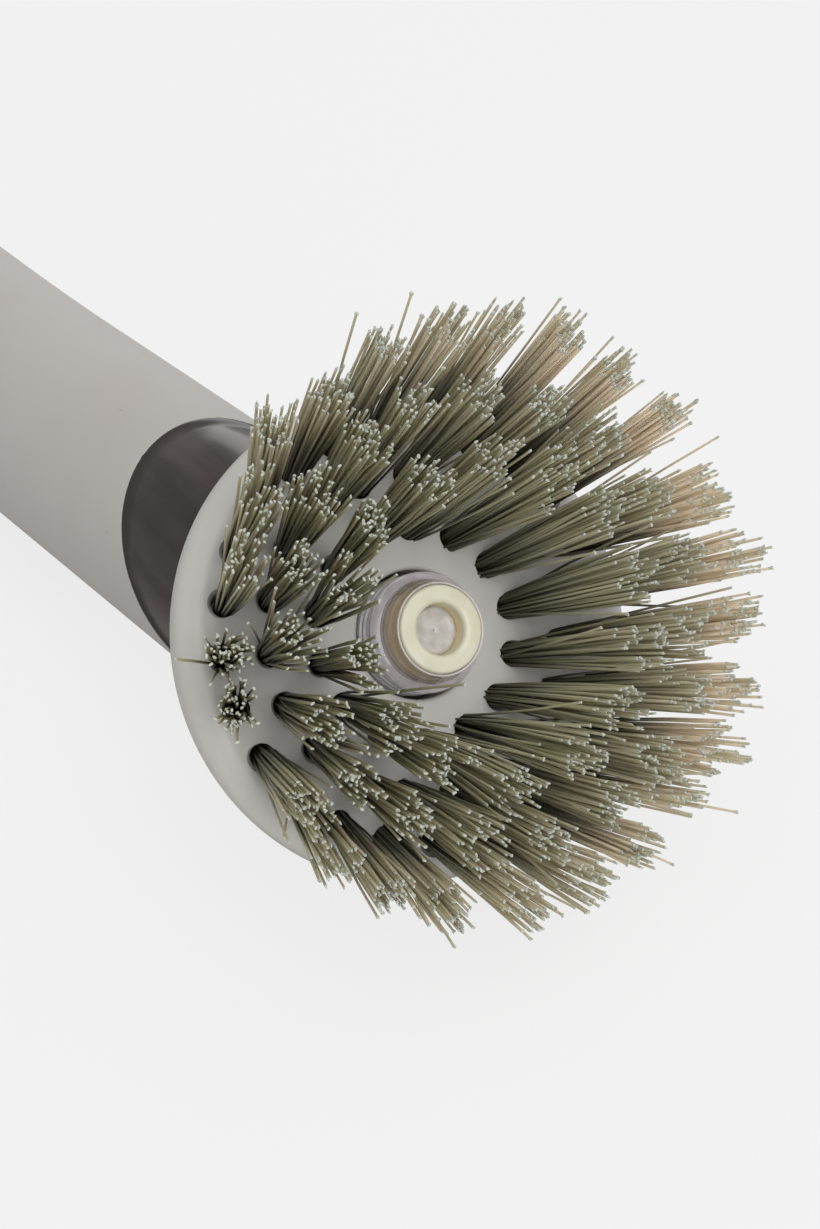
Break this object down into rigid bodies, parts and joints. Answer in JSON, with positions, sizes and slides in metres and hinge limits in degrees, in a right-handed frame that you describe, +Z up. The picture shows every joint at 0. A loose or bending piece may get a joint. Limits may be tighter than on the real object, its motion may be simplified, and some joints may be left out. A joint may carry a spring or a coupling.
{
  "type": "dish wand",
  "caption": "Soap-dispensing dish wand: a round grip that holds soap, a thumb pump, a soap nozzle and a tilted round brush head with fanned bristle tufts.",
  "frame": {"origin": "on the surface that the wand lies on, under the middle of its bounding box; it lies on its back with the bristles up", "axes": "+X along the grip's axis towards the brush head, +Z up, +Y completes a right-handed frame"},
  "size_m": [0.2471, 0.0719, 0.0702],
  "materials": {
    "soft_grip": "soft-touch, warm light grey",
    "smoke": "polished, smoky translucent",
    "black_rubber": "matt",
    "button_grey": "soft-touch, warm light grey",
    "natural_plastic": "natural white",
    "spring_steel": "drawn wire",
    "ball_steel": "polished",
    "clear": "clear, polished",
    "silicone": "translucent white silicone",
    "cream": "satin cream",
    "head_plastic": "satin light grey",
    "bristle": "grey-green nylon strands with pale cut tips",
    "cap_grey": "satin light grey"
  },
  "bodies": {
    "wand": {"grip_sleeve": "soft_grip", "reservoir_tube": "smoke", "neck_housing": "smoke", "neck_seal": "black_rubber", "tail_collar": "smoke", "button_bezel": "smoke", "pump_cup": "natural_plastic", "return_spring": "spring_steel", "inlet_seat": "natural_plastic", "outlet_duct": "natural_plastic", "nozzle_barrel": "clear", "nozzle_seal": "black_rubber", "slit_valve": "silicone", "valve_ring": "cream"},
    "button": {"thumb_button": "button_grey", "pump_piston": "natural_plastic", "piston_seal": "black_rubber"},
    "inlet_ball": {"inlet_ball": "ball_steel"},
    "brush_head": {"brush_plate": "head_plastic", "back_cover": "head_plastic", "tufts_inner": "bristle", "tufts_middle": "bristle", "tufts_outer": "bristle"},
    "cap_seal": {"cap_gasket": "black_rubber"},
    "cap": {"filler_cap": "cap_grey"}
  },
  "joints": [
    {"name": "button_press", "type": "slide", "parent": "wand", "child": "button", "axis": [0, 0, 1], "range_m": [0, 0.0025], "stiffness_N_per_m": 600, "springref_m": -0.002, "deforming": ["return_spring"]},
    {"name": "ball_lift", "type": "slide", "parent": "wand", "child": "inlet_ball", "axis": [0, 0, 1], "range_m": [0, 0.0005]},
    {"name": "head_pull", "type": "slide", "parent": "wand", "child": "brush_head", "axis": [0.8271, 0, 0.5621], "range_m": [0, 0.022]},
    {"name": "cap_rise", "type": "slide", "parent": "wand", "child": "cap_seal", "axis": [-1, 0, 0], "range_m": [0, 0.006]},
    {"name": "cap_turn", "type": "hinge", "parent": "cap_seal", "child": "cap", "pos_m": [-0.11001, 0, 0.01808], "axis": [-1, 0, 0], "range_deg": [0, 720]}
  ],
  "couplings": [
    {"joint": "cap_rise", "follows": "cap_turn", "m_per_rad": 0.00047746}
  ]
}
